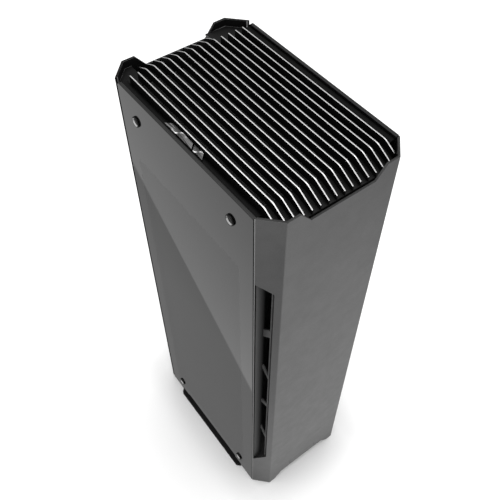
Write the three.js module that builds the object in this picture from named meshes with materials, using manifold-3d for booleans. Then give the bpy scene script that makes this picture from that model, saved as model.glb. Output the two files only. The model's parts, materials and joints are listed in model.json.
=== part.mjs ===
// A tall, slim tower computer: two folded metal shells, two dark glass sides, a lift-off fin grille.
// Millimetres, +Z up. The front faces -Y and the origin is on the floor under the middle.
import * as THREE from "three";
import { mergeVertices } from "three/addons/utils/BufferGeometryUtils.js";
import Module from "manifold-3d";

const wasm = await Module();
wasm.setup();

// ---- Driving dimensions ----
const halfWidth = 85; // outer face of each glass side
const halfDepth = 137; // front and rear faces
const topOfFins = 650;
const gap = 0.3; // between neighbouring pieces

// Folded metal shells, front and rear.
const shell = {
  sheet: 2.5,
  bottom: 2,
  top: 648,
  edgeY: 116.5, // where the slanted corner meets the glass
  faceX: 65.3, // where the slanted corner meets the flat face
  notchTopOuter: 50.5, // half width of the top notch at its mouth
  notchSlope: 12.5 / 15, // how its sides close in, per millimetre down
  notchFloor: 633,
  notchBottomOuter: 55,
  notchBottomInner: 41.5,
  notchRoof: 16,
};
// The corner slot, measured along the slanted corner (u) and upwards.
const slot = { nearU: 1.4, farU: 20.5, lowNear: 96, lowFar: 111, highNear: 552, highFar: 539.5 };
const ledge = { leftFrom: -80, leftTo: -56, rightFrom: 38, rightTo: 80, startY: 111, z: 637, sheet: 2 };
const ventFrame = {
  backY: -115.4, sheet: 2, outerX: -80.6, ribX: -70, low: 92, high: 556, ribFrontY: -127.6,
};
// Each rib: height at the back, height at the front, and how tall it is.
const ventRibs = [[438, 451, 15], [366, 353, 9], [273, 277, 8], [190, 174, 9]];

// Glass sides.
const glass = {
  sheet: 4, frontY: -115.8, rearY: 113, bottom: 2.5, leftTop: 646, rightTop: 648, corner: 3, holeR: 3.2,
};
const screw = { y: 82, lowZ: 32, highZ: 615, headR: 6.1, headLength: 1.8, shankR: 2, sides: 16 };

// Foot rails.
const rail = {
  outerX: 91.2, height: 9.7, neckX: 60, frontY: -87.8, rearY: 81.8, bevel: 5.8,
  neckFront: -70, neckRear: 64,
};

// Fin grille.
const fins = { count: 16, firstX: -71.5, pitch: 9.375, thick: 1.6 };
const finShape = {
  frontY: -133.1, frontZ: 639.3, frontBendY: -113, rearBendY: 108, rearY: 126, rearZ: 641.8,
  bottom: 641.1, frontBottom: 634.3, rearBottom: 636.3, innerInset: 3.4,
};
const grille = { halfX: 72.2, sheetTop: 640.8, sheetLow: 637.6, rimWidth: 4, rearStepY: 108.6 };
const meshSheet = { z: 638.4, sheet: 0.8 };

// Top side rails, one on each side of the grille, and the two buttons in the left one.
const topRail = { outerX: 80.6, wallX: 78.6, innerX: 72.7, low: 560.4, shelf: 628, top: 645, reach: 115 };
const button = { outerX: -79.4, innerX: -73.2, low: 637.8, top: 646.5, rib: 645.9, pocketLow: 635.5 };
const powerButtonEnds = { outerRear: 32, innerRear: 26, innerFront: -8.3, outerFront: -14.2 };
const lightButtonEnds = { outerRear: -16, innerRear: -10.1, innerFront: -25.4, outerFront: -31.6 };

// Steel chassis.
const chassis = {
  halfX: 80.3, wallX: 78.2, wallY: 109.8, sheet: 1.7,
  floorLow: 10, floorTop: 12, flangeTop: 45, top: 628, rearTop: 600,
};
const airOpening = { width: 16, columns: [-50, -22, 22, 50], rows: [[90, 290], [330, 530]] };
const ioPlate = { z: 558, sheet: 2, halfX: 78, halfY: 109.2 };
const tray = { x: 10, sheet: 1.5, low: 45, top: 557.5 };
const filter = { halfX: 45.5, frontY: -118, rearY: 74, low: 5.6, top: 9.6, border: 6, floor: 1 };
const guide = { inner: 43.5, face: 45.9, outer: 48, low: 4, lip: 5.2, frontY: -104, rearY: 90 };

// Door over the two front sockets.
const door = {
  halfX: 24.7, low: 16.4, top: 32, pivotY: -133.6, pivotZ: 18.4, barrelR: 1.9, boreR: 1.1, pinR: 0.75,
};
const lug = { inner: 25.3, outer: 28.3, frontY: -135.2, rearY: -131.4, low: 16.4, top: 20.6 };
const sockets = {
  halfX: 22, frontY: -130, rearY: -112, low: 17.6, top: 30.4,
  depth: 12, width: 13, height: 5.2, x: 13, z: 24,
};

// Fans and the parts inside.
const bottomFan = { half: 70, low: 12.4, deep: 25, holeR: 66, hubR: 20, bladeR: 63 };
const cpuFan = { half: 46, nearX: -62, deep: 15, y: 0, z: 470, holeR: 43, hubR: 14, bladeR: 41 };
const cardFan = { y: 2, z: 468, faceX: 56, deep: 12, holeR: 42, hubR: 13, bladeR: 40 };
const blades = 7;
const round = 32;

// ---- Solids ----
function solidOf(geometry) {
  const clean = geometry.clone();
  clean.deleteAttribute("normal");
  clean.deleteAttribute("uv");
  const merged = mergeVertices(clean, 1e-4);
  return new wasm.Manifold(
    new wasm.Mesh({
      numProp: 3,
      vertProperties: merged.attributes.position.array,
      triVerts: new Uint32Array(merged.index.array),
    }),
  );
}

function geometryOf(solid) {
  const mesh = solid.getMesh();
  const geometry = new THREE.BufferGeometry();
  geometry.setAttribute("position", new THREE.BufferAttribute(new Float32Array(mesh.vertProperties), 3));
  geometry.setIndex(new THREE.BufferAttribute(new Uint32Array(mesh.triVerts), 1));
  const flat = geometry.toNonIndexed();
  flat.computeVertexNormals();
  return flat;
}

function join(...geometries) {
  return geometryOf(geometries.map(solidOf).reduce((a, b) => a.add(b)));
}

function cut(body, ...tools) {
  return geometryOf(tools.map(solidOf).reduce((a, b) => a.subtract(b), solidOf(body)));
}

function common(a, b) {
  return geometryOf(solidOf(a).intersect(solidOf(b)));
}

// A copy mirrored in X or Y, with its faces turned back to point outwards.
function mirror(geometry, axis) {
  const copy = geometry.index ? geometry.toNonIndexed() : geometry.clone();
  const points = copy.attributes.position;
  const sign = { x: axis === "x" ? -1 : 1, y: axis === "y" ? -1 : 1 };
  const corner = new THREE.Vector3();
  const turned = [];
  for (let i = 0; i < points.count; i += 3) {
    for (const k of [0, 2, 1]) {
      corner.fromBufferAttribute(points, i + k);
      turned.push(corner.x * sign.x, corner.y * sign.y, corner.z);
    }
  }
  const result = new THREE.BufferGeometry();
  result.setAttribute("position", new THREE.Float32BufferAttribute(turned, 3));
  result.computeVertexNormals();
  return result;
}

function box(x0, x1, y0, y1, z0, z1) {
  const geometry = new THREE.BoxGeometry(x1 - x0, y1 - y0, z1 - z0);
  geometry.translate((x0 + x1) / 2, (y0 + y1) / 2, (z0 + z1) / 2);
  return geometry;
}

// An outline extruded along an axis. The outline's points are (x, y) for z, (y, z) for x and (x, z) for y.
function prism(points, axis, from, to) {
  const swapped = axis === "y";
  const outline = points.map(([a, b]) => (swapped ? new THREE.Vector2(b, a) : new THREE.Vector2(a, b)));
  const shape = new THREE.Shape(outline);
  const geometry = new THREE.ExtrudeGeometry(shape, { depth: to - from, bevelEnabled: false });
  geometry.translate(0, 0, from);
  const X = new THREE.Vector3(1, 0, 0);
  const Y = new THREE.Vector3(0, 1, 0);
  const Z = new THREE.Vector3(0, 0, 1);
  const turns = { x: [Y, Z, X], y: [Z, X, Y], z: [X, Y, Z] };
  geometry.applyMatrix4(new THREE.Matrix4().makeBasis(...turns[axis]));
  return geometry;
}

// A cylinder along an axis, from one end to the other, centred on (a, b) of the two other axes in order.
function rod(axis, a, b, radius, from, to, sides = screw.sides) {
  const geometry = new THREE.CylinderGeometry(radius, radius, to - from, sides);
  geometry.translate(0, (from + to) / 2, 0);
  if (axis === "x") {
    geometry.rotateZ(-Math.PI / 2);
    geometry.translate(0, a, b);
  } else if (axis === "y") {
    geometry.translate(a, 0, b);
  } else {
    geometry.rotateX(Math.PI / 2);
    geometry.translate(a, b, 0);
  }
  return geometry;
}

// ---- The slanted corner: a line in plan, and offsets into the case ----
const cornerRun = new THREE.Vector2(halfWidth - shell.faceX, halfDepth - shell.edgeY);
const cornerU = cornerRun.clone().normalize();
const cornerReach = halfWidth * cornerU.y + shell.edgeY * cornerU.x;

// Distance from the middle plane at which a line set in from the corner face crosses depth y (y positive).
function cornerX(y, inset) {
  return (cornerReach - inset - y * cornerU.x) / cornerU.y;
}

function cornerY(x, inset) {
  return (cornerReach - inset - x * cornerU.y) / cornerU.x;
}

// ---- Front and rear shells ----
function shellSheet() {
  const inner = halfDepth - shell.sheet;
  const innerX = cornerX(inner, shell.sheet);
  const endX = cornerX(shell.edgeY, shell.sheet);
  const plan = [
    [-halfWidth, -shell.edgeY], [-shell.faceX, -halfDepth], [shell.faceX, -halfDepth],
    [halfWidth, -shell.edgeY], [endX, -shell.edgeY], [innerX, -inner], [-innerX, -inner],
    [-endX, -shell.edgeY],
  ];
  return prism(plan, "z", shell.bottom, shell.top);
}

function cornerSlotTool() {
  const outline = [
    [slot.nearU, slot.lowNear], [slot.farU, slot.lowFar],
    [slot.farU, slot.highFar], [slot.nearU, slot.highNear],
  ].map(([u, z]) => new THREE.Vector2(u, z));
  const reach = 6;
  const shape = new THREE.Shape(outline);
  const geometry = new THREE.ExtrudeGeometry(shape, { depth: 2 * reach, bevelEnabled: false });
  geometry.translate(0, 0, -reach);
  const along = new THREE.Vector3(cornerU.x, -cornerU.y, 0);
  const up = new THREE.Vector3(0, 0, 1);
  geometry.applyMatrix4(new THREE.Matrix4().makeBasis(along, up, along.clone().cross(up)));
  geometry.translate(-halfWidth, -shell.edgeY, 0);
  return geometry;
}

function notchTools() {
  const past = 5;
  const innerX = shell.notchTopOuter - (shell.top - shell.notchFloor) * shell.notchSlope;
  const upper = [
    [-innerX, shell.notchFloor], [innerX, shell.notchFloor],
    [shell.notchTopOuter, shell.top], [shell.notchTopOuter, shell.top + past],
    [-shell.notchTopOuter, shell.top + past], [-shell.notchTopOuter, shell.top],
  ];
  const lower = [
    [-shell.notchBottomInner, shell.notchRoof], [-shell.notchBottomOuter, shell.bottom],
    [-shell.notchBottomOuter, shell.bottom - past], [shell.notchBottomOuter, shell.bottom - past],
    [shell.notchBottomOuter, shell.bottom], [shell.notchBottomInner, shell.notchRoof],
  ];
  return [upper, lower].map((outline) => prism(outline, "y", -halfDepth - past, -halfDepth + 2 * past));
}

function plainShell() {
  const left = cornerSlotTool();
  return cut(shellSheet(), left, mirror(left, "x"), ...notchTools());
}

// The front shell also carries the two lugs that hold the socket door's hinge pin.
function frontPanel() {
  const bay = box(-lug.inner, lug.inner, -halfDepth - 1, -halfDepth + 4, 0, door.top + gap);
  const lugs = [-1, 1].map((side) => {
    const ends = [side * lug.inner, side * lug.outer].sort((a, b) => a - b);
    return box(...ends, lug.frontY, lug.rearY, lug.low, lug.top);
  });
  const bore = rod("x", door.pivotY, door.pivotZ, door.boreR, -lug.outer - 1, lug.outer + 1, 12);
  return cut(join(cut(plainShell(), bay), ...lugs), bore);
}

// The rear shell has a shelf inside each top corner.
function rearPanel() {
  const corner = halfDepth - shell.sheet;
  const shelves = [[ledge.leftFrom, ledge.leftTo], [ledge.rightFrom, ledge.rightTo]].map(([from, to]) => {
    const far = Math.max(Math.abs(from), Math.abs(to));
    const side = Math.sign(from);
    const near = Math.min(Math.abs(from), Math.abs(to));
    const bend = cornerX(corner + 1, shell.sheet / 2);
    const outline = [
      [near, ledge.startY], [far, ledge.startY], [far, cornerY(far, shell.sheet / 2)],
      [bend, corner + 1], [near, corner + 1],
    ].map(([x, y]) => [side * x, y]);
    return prism(outline, "z", ledge.z, ledge.z + ledge.sheet);
  });
  return join(mirror(plainShell(), "y"), ...shelves);
}

// The grey frame seen through the slanted slot: a wall, short ribs across the duct, and a front strip.
function leftVentFrame() {
  const f = ventFrame;
  const wall = box(f.outerX, f.ribX + f.sheet, f.backY, f.backY + f.sheet, f.low, f.high);
  const strip = box(f.ribX + 0.5, f.ribX + 6, f.ribFrontY, f.ribFrontY + f.sheet, f.low, f.high);
  const ribs = ventRibs.map(([back, front, tall]) =>
    prism(
      [
        [f.backY + 1, back], [f.ribFrontY + 1, front],
        [f.ribFrontY + 1, front + tall], [f.backY + 1, back + tall],
      ],
      "x", f.ribX, f.ribX + f.sheet,
    ),
  );
  return join(wall, ...ribs, strip);
}

// ---- Glass sides and their screws ----
function glassSide(top) {
  const notchTop = rail.height + 2 * gap;
  const outline = [
    [glass.frontY, glass.bottom], [rail.neckFront - gap, glass.bottom], [rail.neckFront - gap, notchTop],
    [rail.neckRear + gap, notchTop], [rail.neckRear + gap, glass.bottom], [glass.rearY, glass.bottom],
    [glass.rearY, top - glass.corner], [glass.rearY - glass.corner, top],
    [glass.frontY + 1, top], [glass.frontY, top - 1],
  ];
  const sheet = prism(outline, "x", -halfWidth, -halfWidth + glass.sheet);
  const holes = screwPlaces().map(([y, z]) => rod("x", y, z, glass.holeR, -halfWidth - 1, -halfWidth + 6));
  return cut(sheet, ...holes);
}

function screwPlaces() {
  return [-screw.y, screw.y].flatMap((y) => [screw.lowZ, screw.highZ].map((z) => [y, z]));
}

function glassScrew(y, z) {
  const seat = -halfWidth - gap;
  const head = rod("x", y, z, screw.headR, seat - screw.headLength, seat);
  const shank = rod("x", y, z, screw.shankR, seat - 1, -topRail.outerX - gap);
  return join(head, shank);
}

// ---- Foot rails ----
function footRail() {
  const r = rail;
  const face = -halfWidth - 0.4;
  const plan = [
    [-r.outerX, r.frontY + r.bevel], [-r.outerX, r.rearY - r.bevel], [face, r.rearY], [face, r.neckRear],
    [-r.neckX, r.neckRear], [-r.neckX, r.neckFront], [face, r.neckFront], [face, r.frontY],
  ];
  return prism(plan, "z", 0, r.height);
}

// ---- Fin grille ----
const finX = Array.from({ length: fins.count }, (unused, i) => fins.firstX + i * fins.pitch);

// Fins beside the rear corner shelves stop short of them.
function finRear(x) {
  const half = fins.thick / 2;
  if (x - half < ledge.leftTo + 1 || x + half > ledge.rightFrom - 1) return finShape.rearBendY + 0.5;
  return finShape.rearY;
}

function slope(y, y0, z0, y1, z1) {
  return z0 + ((y - y0) * (z1 - z0)) / (y1 - y0);
}

function fin(x) {
  const s = finShape;
  const outer = Math.abs(x) + fins.thick / 2;
  const front = Math.max(s.frontY, -cornerY(outer, s.innerInset));
  const rear = finRear(x);
  const frontTop = slope(front, s.frontBendY, topOfFins, s.frontY, s.frontZ);
  const frontLow = slope(front, s.frontBendY, s.bottom, s.frontY, s.frontBottom);
  const rearTop = slope(rear, s.rearBendY, topOfFins, s.rearY, s.rearZ);
  const rearLow = slope(rear, s.rearBendY, s.bottom, s.rearY, s.rearBottom);
  const outline = [
    [front, frontLow], [s.frontBendY, s.bottom], [s.rearBendY, s.bottom], [rear, rearLow],
    [rear, rearTop], [s.rearBendY, topOfFins], [s.frontBendY, topOfFins], [front, frontTop],
  ];
  return prism(outline, "x", x - fins.thick / 2, x + fins.thick / 2);
}

// The frame under the fins: sloped cross rails front and rear, joined by side bars.
function grilleFrame() {
  const s = finShape;
  const drop = s.bottom - grille.sheetTop;
  const halfX = grille.halfX;
  const inner = s.frontBendY + 2 * grille.rimWidth;
  const front = prism(
    [
      [s.frontY, s.frontBottom - drop], [s.frontBendY, grille.sheetTop], [inner, grille.sheetTop],
      [inner, grille.sheetLow], [s.frontBendY, grille.sheetLow],
      [s.frontY, s.frontBottom - grille.rimWidth],
    ],
    "x", -halfX, halfX,
  );
  const rearInner = s.rearBendY - 2 * grille.rimWidth;
  const rear = box(-halfX, halfX, rearInner, grille.rearStepY, grille.sheetLow, grille.sheetTop);
  const tail = prism(
    [
      [s.rearY, s.rearBottom - drop], [s.rearBendY, grille.sheetTop], [s.rearBendY - 1, grille.sheetTop],
      [s.rearBendY - 1, grille.sheetLow], [s.rearY, s.rearBottom - grille.rimWidth / 2],
    ],
    "x", ledge.leftTo + 1, ledge.rightFrom - 1,
  );
  const sides = [-1, 1].map((side) => {
    const ends = [side * halfX, side * (halfX - grille.rimWidth)].sort((a, b) => a - b);
    return box(...ends, inner - 1, rearInner + 1, grille.sheetLow, grille.sheetTop);
  });
  const edgeX = cornerX(-s.frontY, s.innerInset);
  const edgeY = -cornerY(halfX, s.innerInset);
  const room = prism(
    [
      [-halfX, halfDepth], [-halfX, edgeY], [-edgeX, s.frontY], [edgeX, s.frontY],
      [halfX, edgeY], [halfX, halfDepth],
    ],
    "z", 600, 660,
  );
  return common(join(front, rear, tail, ...sides), room);
}

function grilleMesh() {
  const halfX = grille.halfX - grille.rimWidth - gap;
  const front = finShape.frontBendY + 2 * grille.rimWidth + gap;
  const rear = finShape.rearBendY - 2 * grille.rimWidth - gap;
  return box(-halfX, halfX, front, rear, meshSheet.z, meshSheet.z + meshSheet.sheet);
}

// ---- Top side rails and buttons ----
function topSideRail() {
  const r = topRail;
  const profile = [
    [-r.outerX, r.low], [-r.wallX, r.low], [-r.wallX, r.shelf], [-r.innerX, r.shelf],
    [-r.innerX, r.top], [-r.outerX, r.top],
  ];
  return prism(profile, "y", -r.reach, r.reach - 4);
}

function buttonPlan(ends) {
  return [
    [button.outerX, ends.outerRear], [button.outerX, ends.outerFront],
    [button.innerX, ends.innerFront], [button.innerX, ends.innerRear],
  ];
}

function leftTopRail() {
  const pocket = [
    [button.outerX - gap, powerButtonEnds.outerRear + 2 * gap],
    [button.outerX - gap, lightButtonEnds.outerFront - 2 * gap],
    [-topRail.innerX + 1, lightButtonEnds.innerFront - 2 * gap],
    [-topRail.innerX + 1, powerButtonEnds.innerRear + 2 * gap],
  ];
  return cut(topSideRail(), prism(pocket, "z", button.pocketLow, topRail.top + 1));
}

// A button cap: a slanted block whose top rises to a low ridge across its middle.
function buttonCap(ends) {
  const block = prism(buttonPlan(ends), "z", button.low, button.top);
  const middle = (ends.outerRear + ends.outerFront) / 2;
  const reach = (ends.outerRear - ends.outerFront) / 2 + 8;
  const profile = [
    [middle - reach, button.low - 1], [middle + reach, button.low - 1], [middle + reach, button.rib],
    [middle, button.top], [middle - reach, button.rib],
  ];
  return common(block, prism(profile, "x", button.outerX - 1, button.innerX + 1));
}

// ---- Socket door, its pin and the sockets ----
function ioDoor() {
  const back = -halfDepth + shell.sheet - 0.2;
  const plate = box(-door.halfX, door.halfX, -halfDepth, back, door.low, door.top);
  const barrel = rod("x", door.pivotY, door.pivotZ, door.barrelR, -door.halfX, door.halfX, 16);
  const bore = rod("x", door.pivotY, door.pivotZ, door.boreR, -door.halfX - 1, door.halfX + 1, 12);
  return cut(join(plate, barrel), bore);
}

function ioDoorPin() {
  const end = lug.outer - gap;
  return rod("x", door.pivotY, door.pivotZ, door.pinR, -end, end, 12);
}

function usbPorts() {
  const s = sockets;
  const body = box(-s.halfX, s.halfX, s.frontY, s.rearY, s.low, s.top);
  const halfWide = s.width / 2;
  const halfTall = s.height / 2;
  const mouths = [-s.x, s.x].map((x) =>
    box(x - halfWide, x + halfWide, s.frontY - 1, s.frontY + s.depth, s.z - halfTall, s.z + halfTall),
  );
  return cut(body, ...mouths);
}

// ---- Chassis ----
function basePlate() {
  const c = chassis;
  const plate = box(-c.halfX, c.halfX, -c.wallY, c.wallY, c.floorLow, c.floorTop);
  const flanges = [-1, 1].map((side) => {
    const ends = [side * c.halfX, side * (c.halfX - c.sheet)].sort((a, b) => a - b);
    return box(...ends, -c.wallY + 5, c.wallY - 5, c.floorLow + 1, c.flangeTop);
  });
  const guides = [-1, 1].map((side) => {
    const profile = [
      [guide.face, c.floorLow + 1], [guide.outer, c.floorLow + 1], [guide.outer, guide.low],
      [guide.inner, guide.low], [guide.inner, guide.lip], [guide.face, guide.lip],
    ].map(([x, z]) => [side * x, z]);
    return prism(profile, "y", guide.frontY, guide.rearY);
  });
  const openings = Array.from({ length: 7 }, (unused, i) => {
    const x = (i - 3) * 13;
    return box(x - 4, x + 4, -60, 60, c.floorLow - 2, c.floorTop + 2);
  });
  return cut(join(plate, ...flanges, ...guides), ...openings);
}

// A flat end wall with two rows of upright air openings.
function endWall(top) {
  const c = chassis;
  const wall = box(-c.wallX, c.wallX, -c.wallY - c.sheet, -c.wallY, c.floorTop + gap, top);
  const half = airOpening.width / 2;
  const openings = airOpening.rows.flatMap(([low, high]) =>
    airOpening.columns.map((x) => box(x - half, x + half, -c.wallY - 5, -c.wallY + 5, low, high)),
  );
  return cut(wall, ...openings);
}

function frontFrame() {
  const s = sockets;
  return cut(endWall(chassis.top), box(-s.halfX + 4, s.halfX - 4, -120, -100, s.low + 2, s.top - 2));
}

function rearFrame() {
  return mirror(endWall(chassis.rearTop), "y");
}

const portBlock = { x0: -36, x1: 4.1, halfY: 75, low: 532, top: 561.5 };
const card = { x0: 16, x1: cardFan.faceX, y0: -55, y1: 60, low: 385, top: 561 };
const supply = { x0: -58, x1: 5.5, halfY: 62.5, low: 60, top: 160, sheet: 1.6 };
const inlet = { x0: 22, x1: 52, y0: 74, y1: 98, low: 540, top: 563, wall: 2.5, depth: 16 };

function ioShelf() {
  const p = ioPlate;
  const plate = box(-p.halfX, p.halfX, -p.halfY, p.halfY, p.z, p.z + p.sheet);
  const windows = [
    [portBlock.x0, portBlock.x1, -portBlock.halfY, portBlock.halfY],
    [card.x0, card.x1, card.y0, card.y1],
    [inlet.x0, inlet.x1, inlet.y0, inlet.y1],
  ].map(([x0, x1, y0, y1]) => box(x0 - gap, x1 + gap, y0 - gap, y1 + gap, p.z - 1, p.z + p.sheet + 1));
  return cut(plate, ...windows);
}

function boardTray() {
  const endY = chassis.wallY - gap;
  const plate = box(tray.x, tray.x + tray.sheet, -endY, endY, tray.low, tray.top);
  const cableSlots = [[-100, -90, 400, 460], [90, 100, 200, 260]].map(([y0, y1, z0, z1]) =>
    box(tray.x - 2, tray.x + 4, y0, y1, z0, z1),
  );
  return cut(plate, ...cableSlots);
}

function dustFilter() {
  const f = filter;
  const slab = box(-f.halfX, f.halfX, f.frontY, f.rearY, f.low, f.top);
  const wellX = f.halfX - f.border;
  const well = box(-wellX, wellX, f.frontY + f.border, f.rearY - f.border, f.low + f.floor, f.top + 1);
  return cut(slab, well);
}

// ---- Fans: built about the Z axis at the origin, then turned and moved into place ----
function fanFrame(half, deep, holeR, hubR) {
  const body = cut(box(-half, half, -half, half, 0, deep), rod("z", 0, 0, holeR, -1, deep + 1, round));
  const bars = [box(-holeR - 1, holeR + 1, -2, 2, 0, 2), box(-2, 2, -holeR - 1, holeR + 1, 0, 2)];
  return join(body, ...bars, rod("z", 0, 0, hubR, 0, 2, round / 2));
}

function fanRotor(hubR, bladeR, low, high) {
  const hub = rod("z", 0, 0, hubR, low, high, round / 2);
  const wings = Array.from({ length: blades }, (unused, i) => {
    const wing = new THREE.BoxGeometry(bladeR - hubR + 2, hubR * 1.3, 1.6);
    wing.rotateX(0.5);
    wing.translate((bladeR + hubR) / 2 - 1, 0, (low + high) / 2);
    wing.rotateZ((i * 2 * Math.PI) / blades);
    return wing;
  });
  return join(hub, ...wings);
}

// Turned so that the fan's +Z axis points along -X (towards the left glass) or +X (towards the right).
function facing(geometry, side, x, y, z) {
  geometry.rotateY((side * Math.PI) / 2);
  geometry.translate(x, y, z);
  return geometry;
}

// ---- Electronics ----
function motherboard() {
  const board = box(4, 5.6, -85, 85, 385, 555);
  const p = portBlock;
  const ports = box(p.x0, p.x1, -p.halfY, p.halfY, p.low, p.top);
  const chokes = [0, 1, 2, 3].map((i) => box(-8, 4.1, 50, 58, 430 + 16 * i, 440 + 16 * i));
  return join(board, ports, ...chokes);
}

function cpuHeatsink() {
  const block = box(-5, 3.7, -20, 20, 450, 490);
  const spreader = box(-8, -4, -40, 40, 430, 510);
  const plates = Array.from({ length: 9 }, (unused, i) => {
    const middle = (i - 4) * 9.5;
    return box(-46, -7, middle - 1.5, middle + 1.5, 430, 510);
  });
  return join(block, spreader, ...plates);
}

function memoryModule(i) {
  const y = -62 + 10 * i;
  return box(-27, 3.7, y, y + 5, 395, 525);
}

function graphicsCard() {
  const f = cardFan;
  const well = rod("x", f.y, f.z, f.holeR, f.faceX - f.deep, f.faceX + 1, round);
  return cut(box(card.x0, card.x1, card.y0, card.y1, card.low, card.top), well);
}

// A sheet-steel box, open through its air slots, with the circuit board standing on its floor.
function powerSupply() {
  const p = supply;
  const body = box(p.x0, p.x1, -p.halfY, p.halfY, p.low, p.top);
  const inside = box(
    p.x0 + p.sheet, p.x1 - p.sheet, -p.halfY + p.sheet, p.halfY - p.sheet, p.low + p.sheet, p.top - p.sheet,
  );
  const intake = [-2, -1, 0, 1, 2].map((i) =>
    box(p.x0 - 1, p.x0 + p.sheet + 1, 14 * i - 4, 14 * i + 4, p.low + 15, p.top - 15),
  );
  const parts = box(p.x1 - 22, p.x1 - 1, -45, 45, p.low + 1, p.top - 20);
  return join(cut(body, inside, ...intake), parts);
}

function powerInlet() {
  const n = inlet;
  const body = box(n.x0, n.x1, n.y0, n.y1, n.low, n.top);
  const mouth = box(n.x0 + n.wall, n.x1 - n.wall, n.y0 + n.wall, n.y1 - n.wall, n.top - n.depth, n.top + 1);
  return cut(body, mouth);
}

function solidStateDrive() {
  return box(2.7, 9.7, -35, 35, 200, 300);
}

// ---- Materials ----
const finish = (color, roughness, metalness, more = {}) =>
  new THREE.MeshStandardMaterial({ color, roughness, metalness, ...more });
const finishes = {
  shell: finish(0x6c6c6d, 0.45, 0.6),
  glass: finish(0x1c1d1f, 0.06, 0, { transparent: true, opacity: 0.85 }),
  screw: finish(0x0c0c0d, 0.3, 0.6),
  rubber: finish(0x18181a, 0.8, 0),
  finMetal: finish(0xd9dadb, 0.3, 1),
  plastic: finish(0x111112, 0.5, 0),
  ventGrey: finish(0x6a6a6b, 0.6, 0),
  steel: finish(0x1d1d1f, 0.5, 0.4),
  chrome: finish(0xb5b6b8, 0.15, 1),
  board: finish(0x15181a, 0.6, 0),
  heatsink: finish(0x9b9da0, 0.4, 1),
};

// ---- Assembly ----
const computer = new THREE.Group();

function place(name, geometry, material) {
  const mesh = new THREE.Mesh(geometry, finishes[material]);
  mesh.name = name;
  computer.add(mesh);
}

place("front_panel", frontPanel(), "shell");
place("rear_panel", rearPanel(), "shell");
place("left_glass", glassSide(glass.leftTop), "glass");
place("right_glass", mirror(glassSide(glass.rightTop), "x"), "glass");
for (const [y, z] of screwPlaces()) {
  const corner = (z === screw.highZ ? "top" : "bottom") + (y < 0 ? "_front" : "_rear");
  place("left_screw_" + corner, glassScrew(y, z), "screw");
  place("right_screw_" + corner, mirror(glassScrew(y, z), "x"), "screw");
}
place("left_foot_rail", footRail(), "rubber");
place("right_foot_rail", mirror(footRail(), "x"), "rubber");

finX.forEach((x, i) => place("fin_" + String(i + 1).padStart(2, "0"), fin(x), "finMetal"));
place("grille_frame", grilleFrame(), "plastic");
place("grille_mesh", grilleMesh(), "steel");

place("left_top_rail", leftTopRail(), "plastic");
place("right_top_rail", mirror(topSideRail(), "x"), "plastic");
place("power_button", buttonCap(powerButtonEnds), "chrome");
place("light_button", buttonCap(lightButtonEnds), "chrome");

place("io_door", ioDoor(), "shell");
place("io_door_pin", ioDoorPin(), "screw");
place("usb_ports", usbPorts(), "steel");
place("left_vent_frame", leftVentFrame(), "ventGrey");
place("right_vent_frame", mirror(leftVentFrame(), "x"), "ventGrey");

place("base_plate", basePlate(), "steel");
place("front_frame", frontFrame(), "steel");
place("rear_frame", rearFrame(), "steel");
place("io_plate", ioShelf(), "steel");
place("board_tray", boardTray(), "steel");
place("dust_filter", dustFilter(), "plastic");

const bottomFrame = fanFrame(bottomFan.half, bottomFan.deep, bottomFan.holeR, bottomFan.hubR);
const bottomRotor = fanRotor(bottomFan.hubR, bottomFan.bladeR, 2.5, bottomFan.deep - 1);
bottomFrame.translate(0, 0, bottomFan.low);
bottomRotor.translate(0, 0, bottomFan.low);
place("bottom_fan_frame", bottomFrame, "plastic");
place("bottom_fan_rotor", bottomRotor, "plastic");

const cpuPlace = [cpuFan.nearX + cpuFan.deep, cpuFan.y, cpuFan.z];
const cpuFrame = fanFrame(cpuFan.half, cpuFan.deep, cpuFan.holeR, cpuFan.hubR);
const cpuRotor = fanRotor(cpuFan.hubR, cpuFan.bladeR, 2.5, cpuFan.deep - 0.5);
place("cpu_fan_frame", facing(cpuFrame, -1, ...cpuPlace), "plastic");
place("cpu_fan_rotor", facing(cpuRotor, -1, ...cpuPlace), "plastic");
place("cpu_heatsink", cpuHeatsink(), "heatsink");

const cardRotor = fanRotor(cardFan.hubR, cardFan.bladeR, 0.5, cardFan.deep - 1);
place("graphics_card", graphicsCard(), "plastic");
facing(cardRotor, 1, cardFan.faceX - cardFan.deep, cardFan.y, cardFan.z);
place("graphics_fan_rotor", cardRotor, "plastic");

place("motherboard", motherboard(), "board");
place("memory_module_a", memoryModule(0), "board");
place("memory_module_b", memoryModule(1), "board");
place("solid_state_drive", solidStateDrive(), "steel");
place("power_supply", powerSupply(), "steel");
place("power_inlet", powerInlet(), "plastic");

export default computer;
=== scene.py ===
"""A tall, slim tower computer in grey metal and dark glass, standing on a white studio floor."""

import json
import math

import bmesh
import bpy
from mathutils import Matrix, Vector

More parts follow.
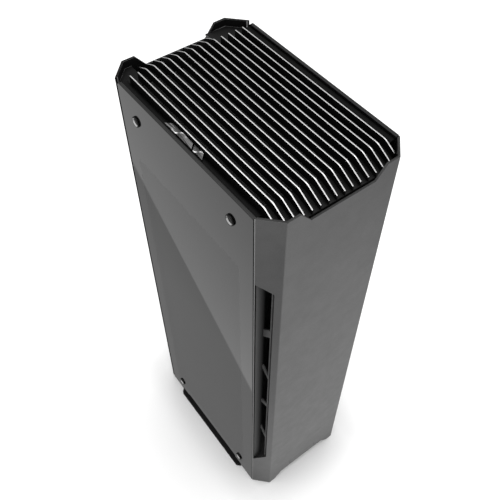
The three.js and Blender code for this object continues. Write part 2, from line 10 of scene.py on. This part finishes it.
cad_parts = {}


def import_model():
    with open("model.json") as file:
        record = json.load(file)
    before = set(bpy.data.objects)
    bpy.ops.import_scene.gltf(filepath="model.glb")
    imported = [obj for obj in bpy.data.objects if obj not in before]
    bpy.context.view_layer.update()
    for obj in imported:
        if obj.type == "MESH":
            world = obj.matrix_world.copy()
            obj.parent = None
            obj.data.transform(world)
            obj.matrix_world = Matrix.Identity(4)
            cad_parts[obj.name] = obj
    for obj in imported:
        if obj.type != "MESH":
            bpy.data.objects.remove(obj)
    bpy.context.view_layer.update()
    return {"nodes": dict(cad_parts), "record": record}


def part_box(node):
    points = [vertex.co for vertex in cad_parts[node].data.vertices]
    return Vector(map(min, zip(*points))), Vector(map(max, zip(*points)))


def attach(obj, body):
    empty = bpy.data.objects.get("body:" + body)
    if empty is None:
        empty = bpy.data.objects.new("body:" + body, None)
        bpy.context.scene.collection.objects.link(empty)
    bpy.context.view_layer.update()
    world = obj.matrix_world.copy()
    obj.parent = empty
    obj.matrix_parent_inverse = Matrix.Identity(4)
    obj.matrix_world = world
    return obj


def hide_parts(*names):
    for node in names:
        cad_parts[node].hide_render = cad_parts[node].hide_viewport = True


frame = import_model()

MM = 0.001
BODY_OF = {node: body for body, nodes in frame["record"]["behaviour"]["bodies"].items() for node in nodes}
SLOT_OF = {row["node"]: row["material_slot"] for row in frame["record"]["subparts"]}

# ---- Camera and stage: places in metres, angles in degrees ----
CAMERA_PLACE = (-0.29953, -0.39730, 1.06172)
CAMERA_TILT = 37.796  # up from looking straight down
CAMERA_TURN = -36.850  # about the vertical
LENS = 47.04
SENSOR_WIDTH = 36.0
FLOOR_RADIUS = 6.0

# ---- The object: lengths in millimetres ----
FOOTPRINT = (85, 137)  # half sizes of the case
FACING = 0.97  # the cosine from which on a face counts as facing a way
SHARP = 60  # the angle in degrees from which on an edge is a corner and not a bend
ROUND_STEPS = 48  # of what is turned on a lathe

RIM_FROM = 600  # the height from which the shells' rims are painted
RIM_UPWARD = 0.45  # a rim's faces look up at least this much
EDGE_HIGHLIGHT_FROM = 84.2  # the half width from which the shells' cut edges carry a painted highlight
CORNER_NORMAL = Vector((0.721, 0.693, 0)).normalized()  # where a shell's slanted corner faces

# The glass is printed black above the first height, below the second and beyond the half depth.
BORDER_TOP = 555
BORDER_LOW = 24
BORDER_SIDE = 93
BORDER_SOFT = 1.2  # half the width over which the print's edge fades

SCREW_HEAD = 1.8
SCREW_SHANK = 2  # its radius
DISH_WALL = (4.1, 4.8)  # the radii between which a screw's dish rises
SCREW_PROFILE = [
    (0, 0.1), (3.9, 0.1), (DISH_WALL[0], 0.15), (DISH_WALL[1], 1.1),
    (5.4, 1.2), (5.95, 0.95), (6.1, 0.4), (6.1, 0),
]

WIRE = 0.55
WIRE_PITCH = 1.7
WIRE_LIFT = 0.1  # how far the two layers of wires lie from the middle of the sheet
MESH_BORDER = 2.0

FIN_BEND = 2.6
RAIL_ROLL = 5.6
RIB_DEPTH = 2.1
DUCT_SHADE_DEEPEST = 68.5  # half widths over which the painted shade in the ducts lifts from black to grey
DUCT_SHADE_GONE = 81

POWER_CENTRE = (-76.4, 11.0)  # x and y of the middle of each button's rays
LIGHT_CENTRE = (-76.4, -20.8)

HUB_SHARE = 0.36  # of a fan's radius
BLADE_STEPS = 6
BLADE_THICK = 0.9


def camera():
    data = bpy.data.cameras.new("camera")
    data.lens = LENS
    data.sensor_width = SENSOR_WIDTH
    data.clip_start = 0.01
    data.clip_end = 50
    eye = bpy.data.objects.new("camera", data)
    eye.location = CAMERA_PLACE
    eye.rotation_euler = (math.radians(CAMERA_TILT), 0, math.radians(CAMERA_TURN))
    bpy.context.scene.collection.objects.link(eye)
    bpy.context.scene.camera = eye


camera()


# ---- Node helpers ----
def new_material(name):
    material = bpy.data.materials.new(name)
    material.use_nodes = True
    nodes = material.node_tree.nodes
    return material, nodes, material.node_tree.links, nodes["Principled BSDF"]


def set_inputs(node, **values):
    for key, value in values.items():
        node.inputs[key.replace("_", " ")].default_value = value


def grey(value):
    return (value, value, value, 1.0)


def noise(nodes, links, scale, detail=3.0, rough=0.55, stretch=None):
    texture = nodes.new("ShaderNodeTexNoise")
    set_inputs(texture, Scale=scale, Detail=detail, Roughness=rough)
    place = nodes.new("ShaderNodeTexCoord")
    if stretch is None:
        links.new(place.outputs["Object"], texture.inputs["Vector"])
    else:
        mapping = nodes.new("ShaderNodeMapping")
        mapping.inputs["Scale"].default_value = stretch
        links.new(place.outputs["Object"], mapping.inputs["Vector"])
        links.new(mapping.outputs["Vector"], texture.inputs["Vector"])
    return texture.outputs["Fac"]


def spread(nodes, links, source, low, high, start=0.3, end=0.7, smooth=False):
    """Maps a value from the range start to end onto the range low to high."""
    node = nodes.new("ShaderNodeMapRange")
    if smooth:
        node.interpolation_type = "SMOOTHSTEP"
    for key, value in (("From Min", start), ("From Max", end), ("To Min", low), ("To Max", high)):
        node.inputs[key].default_value = value
    links.new(source, node.inputs["Value"])
    return node.outputs["Result"]


def maths(nodes, links, operation, *values):
    node = nodes.new("ShaderNodeMath")
    node.operation = operation
    for socket, value in zip(node.inputs, values):
        if isinstance(value, (int, float)):
            socket.default_value = value
        else:
            links.new(value, socket)
    return node.outputs["Value"]


def product(nodes, links, value, *others):
    for other in others:
        value = maths(nodes, links, "MULTIPLY", value, other)
    return value


def blend(nodes, links, amount, first, second):
    """Goes from the first value to the second as the amount goes from 0 to 1."""
    change = maths(nodes, links, "SUBTRACT", second, first)
    return maths(nodes, links, "MULTIPLY_ADD", amount, change, first)


def length(nodes, links, first, second):
    """The length of an arrow that has these two parts."""
    squares = [maths(nodes, links, "MULTIPLY", part, part) for part in (first, second)]
    return maths(nodes, links, "SQRT", maths(nodes, links, "ADD", *squares))


def object_axes(nodes, links):
    place = nodes.new("ShaderNodeTexCoord")
    parts = nodes.new("ShaderNodeSeparateXYZ")
    links.new(place.outputs["Object"], parts.inputs["Vector"])
    return parts.outputs["X"], parts.outputs["Y"], parts.outputs["Z"]


def half_width(nodes, links):
    """How far a point lies from the middle plane of the case, to either side."""
    return maths(nodes, links, "ABSOLUTE", object_axes(nodes, links)[0])


def bump(nodes, links, source, strength, distance, shader):
    raised = nodes.new("ShaderNodeBump")
    set_inputs(raised, Strength=strength, Distance=distance)
    links.new(source, raised.inputs["Height"])
    links.new(raised.outputs["Normal"], shader.inputs["Normal"])


# ---- Materials ----
def shell_metal():
    """Bead-blasted, grey anodised aluminium: a fine grain over an uneven sheen, and a painted highlight:
    the cut edges at the sides are painted pale.
    """
    material, nodes, links, shader = new_material("shell_metal")
    set_inputs(shader, Metallic=0.85)
    tone = spread(nodes, links, noise(nodes, links, 14, 2), 0.160, 0.172)
    grain = spread(nodes, links, noise(nodes, links, 1100, 2), 0.93, 1.07)
    outmost = half_width(nodes, links)
    # Painted highlight: beyond this half width the cut edges are painted paler, standing in for the light
    # they catch.
    edge = spread(nodes, links, outmost, 1.0, 2.4, (EDGE_HIGHLIGHT_FROM - 0.1) * MM, (EDGE_HIGHLIGHT_FROM + 0.1) * MM)
    links.new(product(nodes, links, tone, grain, edge), shader.inputs["Base Color"])
    links.new(spread(nodes, links, noise(nodes, links, 70, 4), 0.41, 0.48), shader.inputs["Roughness"])
    bump(nodes, links, noise(nodes, links, 2200, 2), 0.10, 0.0001, shader)
    return material


def plain(name, value, metallic=0.0, roughness=0.5, grain=900, strength=0.15, level=0.5):
    """A moulded or painted surface with a fine grain and a slight unevenness of tone and gloss."""
    material, nodes, links, shader = new_material(name)
    set_inputs(shader, Metallic=metallic)
    shader.inputs["Specular IOR Level"].default_value = level
    mix = nodes.new("ShaderNodeMix")
    mix.data_type = "RGBA"
    mix.inputs["A"].default_value = grey(value * 0.82)
    mix.inputs["B"].default_value = grey(value * 1.18)
    links.new(spread(nodes, links, noise(nodes, links, 40, 4), 0, 1), mix.inputs["Factor"])
    links.new(mix.outputs["Result"], shader.inputs["Base Color"])
    gloss = spread(nodes, links, noise(nodes, links, 90, 3), roughness * 0.9, roughness * 1.1)
    links.new(gloss, shader.inputs["Roughness"])
    bump(nodes, links, noise(nodes, links, grain, 3), strength, 0.0002, shader)
    return material


def brushed(name, value, roughness, stretch):
    """Metal brushed along one axis."""
    material, nodes, links, shader = new_material(name)
    set_inputs(shader, Metallic=1.0)
    lines = noise(nodes, links, 1, 4, 0.6, stretch)
    links.new(spread(nodes, links, lines, value * 0.88, value * 1.08), shader.inputs["Base Color"])
    links.new(spread(nodes, links, lines, roughness * 0.85, roughness * 1.15), shader.inputs["Roughness"])
    bump(nodes, links, lines, 0.03, 0.0001, shader)
    return material


def tinted_glass():
    """Dark glass, printed black round its border."""
    material, nodes, links, shader = new_material("tinted_glass")
    set_inputs(shader, IOR=1.5)
    y, z = object_axes(nodes, links)[1:]

    def below(value, limit):
        return spread(nodes, links, value, 1, 0, (limit - BORDER_SOFT) * MM, (limit + BORDER_SOFT) * MM)

    across = below(maths(nodes, links, "ABSOLUTE", y), BORDER_SIDE)
    above_low = maths(nodes, links, "SUBTRACT", 1.0, below(z, BORDER_LOW))
    window = product(nodes, links, across, below(z, BORDER_TOP), above_low)
    links.new(spread(nodes, links, window, 0.004, 0.010, 0, 1), shader.inputs["Base Color"])
    links.new(spread(nodes, links, window, 1.0, 0.88, 0, 1), shader.inputs["Alpha"])
    links.new(spread(nodes, links, noise(nodes, links, 6, 2), 0.015, 0.03), shader.inputs["Roughness"])
    return material


def duct_grey_painted_shade():
    """Grey plastic with painted shade: it darkens to black deeper in the duct, towards the middle of the
    case.
    """
    material, nodes, links, shader = new_material("duct_grey_painted_shade")
    set_inputs(shader, Roughness=0.6)
    shader.inputs["Specular IOR Level"].default_value = 0.1
    # Painted shade: the grey goes to black deeper in the duct, towards the middle of the case.
    depth = spread(nodes, links, half_width(nodes, links), 0.0, 0.10, DUCT_SHADE_DEEPEST * MM, DUCT_SHADE_GONE * MM)
    grain = spread(nodes, links, noise(nodes, links, 900, 3), 0.88, 1.12)
    links.new(product(nodes, links, depth, grain), shader.inputs["Base Color"])
    bump(nodes, links, noise(nodes, links, 1500, 2), 0.15, 0.0002, shader)
    return material


def sunburst_and_highlight(name, centre):
    """Spun metal: rays about a centre, and a painted bow-tie highlight across it that curls and fades."""
    material, nodes, links, shader = new_material(name)
    set_inputs(shader, Metallic=1.0, Roughness=0.3)
    x, y = object_axes(nodes, links)[:2]
    along = maths(nodes, links, "SUBTRACT", y, centre[1] * MM)
    across = maths(nodes, links, "SUBTRACT", x, centre[0] * MM)
    angle = maths(nodes, links, "ARCTAN2", along, across)
    radius = length(nodes, links, along, across)
    curl = spread(nodes, links, radius, 0.64, 1.2, 3 * MM, 9 * MM)
    turned = maths(nodes, links, "ADD", angle, curl)
    off_tie = maths(nodes, links, "ABSOLUTE", maths(nodes, links, "SINE", turned))
    # Painted highlight: a bright bow-tie across the centre, where the spun lines would catch the light.
    tie = spread(nodes, links, off_tie, 1.0, 0.0, 0.03, 0.34, True)
    near = spread(nodes, links, radius, 0.1, 1.0, 0.2 * MM, 2.2 * MM)
    far = spread(nodes, links, radius, 1.0, 0.0, 4 * MM, 12 * MM, True)
    rays = nodes.new("ShaderNodeTexNoise")
    rays.noise_dimensions = "1D"
    set_inputs(rays, Scale=9.0, Detail=3.0)
    links.new(angle, rays.inputs["W"])
    streak = spread(nodes, links, rays.outputs["Fac"], 0.03, 0.16, 0.36, 0.64)
    # The rays are painted brighter near the bow-tie, as part of the painted highlight.
    body = product(nodes, links, streak, spread(nodes, links, off_tie, 1.35, 0.5, 0.1, 1.0))
    painted_highlight = product(nodes, links, tie, near, far)
    links.new(maths(nodes, links, "ADD", body, painted_highlight), shader.inputs["Base Color"])
    return material


finishes = {
    "shell_metal": shell_metal(),
    "tinted_glass": tinted_glass(),
    "screw_black": plain("screw_black", 0.004, roughness=0.35, grain=1500, strength=0.05, level=0.15),
    "foot_rubber": plain("foot_rubber", 0.006, roughness=0.8, grain=1400, strength=0.5, level=0.12),
    "fin_aluminium": brushed("fin_aluminium", 0.56, 0.28, (2000, 25, 2000)),
    "black_plastic": plain("black_plastic", 0.004, grain=1500, strength=0.2, level=0.12),
    "black_steel": plain("black_steel", 0.004, roughness=0.55, grain=1200, strength=0.2, level=0.1),
    "grey_plastic": duct_grey_painted_shade(),
    "heatsink_aluminium": brushed("heatsink_aluminium", 0.42, 0.35, (1500, 1500, 30)),
    "circuit_board": plain("circuit_board", 0.010, grain=700, strength=0.1, level=0.3),
    "drive_metal": plain("drive_metal", 0.08, metallic=0.8, roughness=0.4),
}
inside_paint = plain("inside_paint", 0.004, roughness=0.6, grain=1200, strength=0.2, level=0.1)
fin_paint = plain("fin_paint", 0.003, roughness=0.6, grain=1500, strength=0.1, level=0.06)
rib_grey = plain("rib_grey", 0.075, roughness=0.6, grain=1200, level=0.2)
rail_black = plain("rail_black", 0.002, grain=1500, strength=0.2, level=0.05)
glass_edge = plain("glass_edge", 0.007, roughness=0.3, grain=800, strength=0.05, level=0.2)
mesh_steel = plain("mesh_steel", 0.02, grain=1200, strength=0.2, level=0.3)
rim_grey = plain("rim_grey", 0.022, grain=1200, strength=0.2, level=0.2)
screw_dish = plain("screw_dish", 0.5, metallic=1.0, roughness=0.25, grain=1500, strength=0.05)


# ---- Mesh helpers ----
def outline_form(node):
    """A node's mesh with its flat faces merged, ready to be worked on."""
    form = bmesh.new()
    form.from_mesh(frame["nodes"][node].data)
    bmesh.ops.remove_doubles(form, verts=form.verts, dist=1e-6)
    bmesh.ops.dissolve_limit(form, angle_limit=math.radians(0.5), verts=form.verts, edges=form.edges)
    return form


def fold(edge):
    """The angle in degrees by which the surface turns at an edge."""
    return math.degrees(edge.calc_face_angle(0)) if len(edge.link_faces) == 2 else 0


def same(first, second):
    """Whether two lengths in metres are equal, apart from rounding."""
    return abs(first - second) < 1e-5


def soften(form, width, segments=2, least=25, chosen=None):
    """Rounds the chosen edges, or every edge sharper than an angle, by a width in millimetres."""
    edges = [e for e in form.edges if chosen(e)] if chosen else [e for e in form.edges if fold(e) > least]
    bmesh.ops.bevel(
        form, geom=edges, offset=width * MM, offset_type="OFFSET", segments=segments, profile=0.5,
        affect="EDGES", clamp_overlap=False,
    )


def stand_in(form, node, *materials):
    """Shows a form in place of a CAD node, with the node's own finish unless others are given.

    The shading is smooth, and weighted so that flat faces stay flat.
    """
    slot = SLOT_OF[node]
    name = node + "_shape"
    mesh = bpy.data.meshes.new(name)
    form.to_mesh(mesh)
    form.free()
    for material in materials or [finishes[slot]]:
        mesh.materials.append(material)
    mesh.shade_smooth()
    piece = bpy.data.objects.new(name, mesh)
    bpy.context.scene.collection.objects.link(piece)
    flat = piece.modifiers.new("flat_faces", "WEIGHTED_NORMAL")
    flat.keep_sharp = True
    flat.weight = 100
    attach(piece, BODY_OF[node])
    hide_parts(node)
    return piece


def refined(node, width, segments=2, *materials):
    """Shows a node's own shape with softened edges."""
    form = outline_form(node)
    soften(form, width, segments)
    return stand_in(form, node, *materials)


def lathe(profile):
    """A closed profile of (radius, height) in millimetres turned about Z, both ends on the axis."""
    form = bmesh.new()
    turns = [2 * math.pi * i / ROUND_STEPS for i in range(ROUND_STEPS)]
    rings = []
    for radius, height in profile:
        spots = [(radius * math.cos(turn), radius * math.sin(turn), height) for turn in turns]
        if radius == 0:
            spots = [(0, 0, height)]
        rings.append([form.verts.new([value * MM for value in spot]) for spot in spots])
    for low, high in zip(rings, rings[1:]):
        for i in range(ROUND_STEPS):
            j = (i + 1) % ROUND_STEPS
            corners = [low[i % len(low)], low[j % len(low)], high[j % len(high)], high[i % len(high)]]
            form.faces.new(list(dict.fromkeys(corners)))
    bmesh.ops.recalc_face_normals(form, faces=form.faces)
    return form


def block(form, low, high):
    """Adds a box, from corner to corner in millimetres."""
    made = bmesh.ops.create_cube(form, size=1)
    size = [(b - a) * MM for a, b in zip(low, high)]
    middle = [(a + b) / 2 * MM for a, b in zip(low, high)]
    bmesh.ops.transform(
        form, verts=made["verts"], matrix=Matrix.Translation(middle) @ Matrix.Diagonal((*size, 1)),
    )


# ---- Shells ----
def shell(node, side):
    """side is -1 for the front shell and 1 for the rear one. Inner faces and upper rims are painted."""
    form = outline_form(node)
    corners = [Vector((x, side * CORNER_NORMAL.y, 0)) for x in (-CORNER_NORMAL.x, CORNER_NORMAL.x)]
    outward = [Vector((0, side, 0)), *corners]
    form.normal_update()
    for face in form.faces:
        if min(face.normal.dot(way) for way in outward) < -FACING:
            face.material_index = 1
    soften(form, 0.9, 3, chosen=lambda e: 20 < fold(e) < SHARP and e.calc_length() > 20 * MM)
    widest = max(abs(vert.co.x) for vert in form.verts)

    def outmost(edge):
        return fold(edge) > SHARP and all(same(abs(vert.co.x), widest) for vert in edge.verts)

    soften(form, 0.5, chosen=outmost)
    soften(form, 0.35, chosen=lambda e: fold(e) > SHARP and e.calc_length() > 1 * MM)
    form.normal_update()
    for face in form.faces:
        if face.normal.z > RIM_UPWARD and face.calc_center_median().z > RIM_FROM * MM:
            face.material_index = 2
    rim = rim_grey if side < 0 else inside_paint
    return stand_in(form, node, finishes["shell_metal"], inside_paint, rim)


shell("front_panel", -1)
shell("rear_panel", 1)


# ---- Glass sides, screws, foot rails ----
def glass_side(node):
    """A side whose upper edge is ground dull."""
    form = outline_form(node)
    soften(form, 0.5, least=40)
    form.normal_update()
    for face in form.faces:
        face.material_index = 1 if face.normal.z > 0.5 else 0
    return stand_in(form, node, finishes["tinted_glass"], glass_edge)


def screw(node):
    """A low round head with a dished, bright-walled face; its shank runs into the case."""
    low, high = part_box(node)
    middle = (low + high) / 2
    outward = -1 if middle.x < 0 else 1
    shank = (high.x - low.x) / MM - SCREW_HEAD
    scale = SCREW_HEAD / max(height for radius, height in SCREW_PROFILE)
    profile = [(radius, height * scale) for radius, height in SCREW_PROFILE]
    profile += [(SCREW_SHANK, 0), (SCREW_SHANK, -shank), (0, -shank)]
    face = low.x if outward < 0 else high.x
    turn = Matrix.Rotation(math.radians(90 * outward), 4, "Y")
    form = lathe(profile)
    form.transform(Matrix.Translation((face - outward * SCREW_HEAD * MM, middle.y, middle.z)) @ turn)
    form.normal_update()
    for each in form.faces:
        centre = each.calc_center_median()
        reach = math.hypot(centre.y - middle.y, centre.z - middle.z) / MM
        if DISH_WALL[0] < reach < DISH_WALL[1] and abs(each.normal.x) < FACING:
            each.material_index = 1
    return stand_in(form, node, finishes["screw_black"], screw_dish)


for name in frame["nodes"]:
    if name.endswith("_glass"):
        glass_side(name)
    if "_screw_" in name:
        screw(name)
    if name.endswith("_foot_rail"):
        refined(name, 1.0, 3).visible_glossy = False


# ---- Fin grille ----
def fin(node):
    """A fin with rounded bends: bright along its upper edge, black elsewhere."""
    form = outline_form(node)
    soften(form, FIN_BEND, 4, chosen=lambda e: 10 < fold(e) < SHARP)
    soften(form, 0.2, 1, least=SHARP)
    form.normal_update()
    for face in form.faces:
        face.material_index = 0 if face.normal.z > 0.6 and abs(face.normal.x) < 0.3 else 1
    return stand_in(form, node, finishes["fin_aluminium"], fin_paint)


def wire_mesh(node):
    """A mesh of crossing wires inside a thin border, in the space of the node's sheet."""
    low, high = (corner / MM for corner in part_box(node))
    form = bmesh.new()
    middle = (low.z + high.z) / 2
    for axis, level in ((0, middle - WIRE_LIFT), (1, middle + WIRE_LIFT)):
        span = high[axis] - low[axis]
        count = int(span / WIRE_PITCH)
        for i in range(1, count):
            at = low[axis] + span * i / count
            start = list(low)
            end = list(high)
            start[axis] = at - WIRE / 2
            end[axis] = at + WIRE / 2
            start[2] = level - WIRE / 2
            end[2] = level + WIRE / 2
            block(form, start, end)
    for x0, x1, y0, y1 in (
        (low.x, high.x, low.y, low.y + MESH_BORDER), (low.x, high.x, high.y - MESH_BORDER, high.y),
        (low.x, low.x + MESH_BORDER, low.y, high.y), (high.x - MESH_BORDER, high.x, low.y, high.y),
    ):
        block(form, (x0, y0, low.z), (x1, y1, high.z))
    return stand_in(form, node, mesh_steel)


for name in frame["nodes"]:
    if name.startswith("fin_"):
        fin(name)
refined("grille_frame", 0.3)
wire_mesh("grille_mesh")


# ---- Top rails and buttons ----
def top_rail(node):
    """A rail whose inner top edge rolls down towards the fins."""
    form = outline_form(node)
    low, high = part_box(node)
    inner = min(abs(low.x), abs(high.x))

    def inner_top(edge):
        return all(same(vert.co.z, high.z) and same(abs(vert.co.x), inner) for vert in edge.verts)

    soften(form, RAIL_ROLL, 8, chosen=inner_top)
    soften(form, 0.35, least=SHARP)
    return stand_in(form, node, rail_black)


top_rail("left_top_rail")
top_rail("right_top_rail")
refined("power_button", 0.3, 2, sunburst_and_highlight("power_button_metal", POWER_CENTRE))
refined("light_button", 0.3, 2, sunburst_and_highlight("light_button_metal", LIGHT_CENTRE))


# ---- Vent frames ----
def vent_frame(node):
    """The duct wall fades to black in painted shade deeper in the duct; the ribs in front of it are grey.
    """
    form = outline_form(node)
    soften(form, 0.35, least=40)
    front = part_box(node)[1].y - RIB_DEPTH * MM
    for face in form.faces:
        if face.calc_center_median().y < front:
            face.material_index = 1
    return stand_in(form, node, finishes["grey_plastic"], rib_grey)


vent_frame("left_vent_frame")
vent_frame("right_vent_frame")


# ---- Fans ----
def rotor(node, count):
    """A hub with a rounded cap and swept, pitched blades, inside the space of the node's own rotor."""
    low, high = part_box(node)
    size = [side / MM for side in high - low]
    axis = size.index(min(size))
    half = size[axis] / 2
    tip = sorted(size)[1] / 2
    hub = HUB_SHARE * tip
    cap = [(hub, half - 1.5), (hub - 0.5, half - 0.4), (hub - 1.6, half), (0, half)]
    form = lathe([(0, -half), (hub, -half), *cap])
    share = 2 * math.pi / count
    for k in range(count):
        blade(form, share * k, share, hub - 0.4, tip, half)
    bmesh.ops.recalc_face_normals(form, faces=form.faces)
    to_x = Matrix.Rotation(math.radians(90), 4, "Y")
    to_y = Matrix.Rotation(math.radians(-90), 4, "X")
    turn = [to_x, to_y, Matrix()][axis]
    form.transform(Matrix.Translation((low + high) / 2) @ turn)
    return stand_in(form, node)


def blade(form, angle, share, root, tip, half):
    """Adds one curved blade: a thin, closed sheet that leans forward and twists towards its tip."""
    layers = []
    for side in (-0.5, 0.5):
        layer = []
        for i in range(BLADE_STEPS + 1):
            out = i / BLADE_STEPS
            reach = root + (tip - root) * out
            row = []
            for j in range(BLADE_STEPS + 1):
                across = j / BLADE_STEPS - 0.5
                turn = angle + share * (0.5 * out + 0.8 * across)
                pitch = across * (half - BLADE_THICK) * (1.9 - 0.5 * out)
                camber = 0.2 * half * (0.25 - across * across)
                height = pitch + camber + side * BLADE_THICK
                spot = (reach * math.cos(turn), reach * math.sin(turn), height)
                row.append(form.verts.new([value * MM for value in spot]))
            layer.append(row)
        layers.append(layer)
    low, high = layers
    for layer in layers:
        for i in range(BLADE_STEPS):
            for j in range(BLADE_STEPS):
                form.faces.new([layer[i][j], layer[i + 1][j], layer[i + 1][j + 1], layer[i][j + 1]])
    for i in range(BLADE_STEPS):
        for j in (0, BLADE_STEPS):
            form.faces.new([low[i][j], low[i + 1][j], high[i + 1][j], high[i][j]])
            form.faces.new([low[j][i], low[j][i + 1], high[j][i + 1], high[j][i]])


rotor("bottom_fan_rotor", 9)
rotor("cpu_fan_rotor", 9)
rotor("graphics_fan_rotor", 11)

# ---- Everything with plain, softened edges: each node and the width of its bevels ----
for name, width in {
    "io_door": 0.25, "io_door_pin": 0.1, "usb_ports": 0.3, "base_plate": 0.3, "front_frame": 0.3,
    "rear_frame": 0.3, "io_plate": 0.3, "board_tray": 0.3, "dust_filter": 0.3, "bottom_fan_frame": 0.6,
    "cpu_fan_frame": 0.5, "cpu_heatsink": 0.25, "graphics_card": 1.2, "motherboard": 0.25,
    "memory_module_a": 0.4, "memory_module_b": 0.4, "solid_state_drive": 0.8, "power_supply": 0.4,
    "power_inlet": 0.4,
}.items():
    refined(name, width)


# ---- Studio ----
def stage_disc(name, material):
    """A level disc round the middle, as wide as the floor."""
    mesh = bpy.data.meshes.new(name)
    form = bmesh.new()
    bmesh.ops.create_circle(form, cap_ends=True, segments=96, radius=FLOOR_RADIUS)
    form.to_mesh(mesh)
    form.free()
    mesh.materials.append(material)
    piece = bpy.data.objects.new(name, mesh)
    bpy.context.scene.collection.objects.link(piece)
    return piece


def floor():
    """White paper with a painted contact shadow: a little darker where it meets the case."""
    material, nodes, links, shader = new_material("floor")
    set_inputs(shader, Roughness=0.9)
    shader.inputs["Specular IOR Level"].default_value = 0.0
    gaps = []
    for axis, half in zip(object_axes(nodes, links), FOOTPRINT):
        beyond = maths(nodes, links, "SUBTRACT", maths(nodes, links, "ABSOLUTE", axis), half * MM)
        gaps.append(maths(nodes, links, "MAXIMUM", beyond, 0.0))
    gap = length(nodes, links, *gaps)
    # Painted contact shadow: the paper is darker within a few centimetres of the case's footprint.
    links.new(spread(nodes, links, gap, 0.82, 0.98, 0.0, 0.06, True), shader.inputs["Base Color"])
    stage_disc("floor", material).visible_glossy = False


def floor_for_reflections():
    """What shiny surfaces see of the floor: a glowing disc, a painted reflection, with painted shade
    beside the case and at its corners.

    Places are in metres from the middle of the case.
    """
    material, nodes, links, shader = new_material("reflected_floor")
    nodes.remove(shader)
    x, y = object_axes(nodes, links)[:2]

    # Beside the case, but not ahead of it, the floor is shaded up to a slanted line and more so close by.
    outward = maths(nodes, links, "ABSOLUTE", x)
    line = maths(nodes, links, "SUBTRACT", outward, maths(nodes, links, "MULTIPLY", y, 0.2))
    beside = spread(nodes, links, line, 0.62, 1.0, 0.176, 0.178)
    contact = spread(nodes, links, outward, 0.74, 1.0, 0.086, 0.19)
    ahead = spread(nodes, links, y, 1.0, 0.0, -0.17, -0.12)
    sides = blend(nodes, links, ahead, product(nodes, links, beside, contact), 1.0)

    # In front of the case it gets dimmer with distance.
    before = spread(nodes, links, y, 1.0, 0.0, -0.20, -0.12)
    front = blend(nodes, links, before, 1.0, spread(nodes, links, y, 0.94, 1.02, -0.5, -0.15))

    # A painted dark patch lies off the front left corner, and the floor is painted dimmer far to the
    # right.
    patch_x = maths(nodes, links, "ADD", x, 0.45)
    patch_y = maths(nodes, links, "ADD", y, 0.42)
    patch = spread(nodes, links, length(nodes, links, patch_x, patch_y), 0.0, 1.0, 0, 0.48, True)
    right = spread(nodes, links, x, 1.0, 0.45, 0.3, 0.9)

    brightness = 0.80
    glow = nodes.new("ShaderNodeEmission")
    links.new(product(nodes, links, sides, front, patch, right, brightness), glow.inputs["Strength"])
    links.new(glow.outputs["Emission"], nodes["Material Output"].inputs["Surface"])
    card = stage_disc("reflected_floor", material)
    card.location.z = -0.002
    card.visible_camera = False
    card.visible_diffuse = False
    card.visible_shadow = False
    card.visible_transmission = False


def softbox(name, place, target, size, watts):
    data = bpy.data.lights.new(name, "AREA")
    data.shape = "RECTANGLE"
    data.size, data.size_y = size
    data.energy = watts
    lamp = bpy.data.objects.new(name, data)
    lamp.location = place
    lamp.rotation_euler = (Vector(place) - Vector(target)).to_track_quat("Z", "Y").to_euler()
    bpy.context.scene.collection.objects.link(lamp)


def world(strength):
    sky = bpy.data.worlds.new("studio")
    sky.use_nodes = True
    background = sky.node_tree.nodes["Background"]
    background.inputs["Color"].default_value = grey(1.0)
    background.inputs["Strength"].default_value = strength
    bpy.context.scene.world = sky


floor()
floor_for_reflections()
world(0.9)
softbox("top_light", place=(0.2, 0.1, 3.0), target=(0, 0, 0.3), size=(3.0, 3.0), watts=60)
bpy.context.scene.view_settings.view_transform = "Standard"
bpy.context.scene.view_settings.look = "None"

bpy.context.view_layer.update()
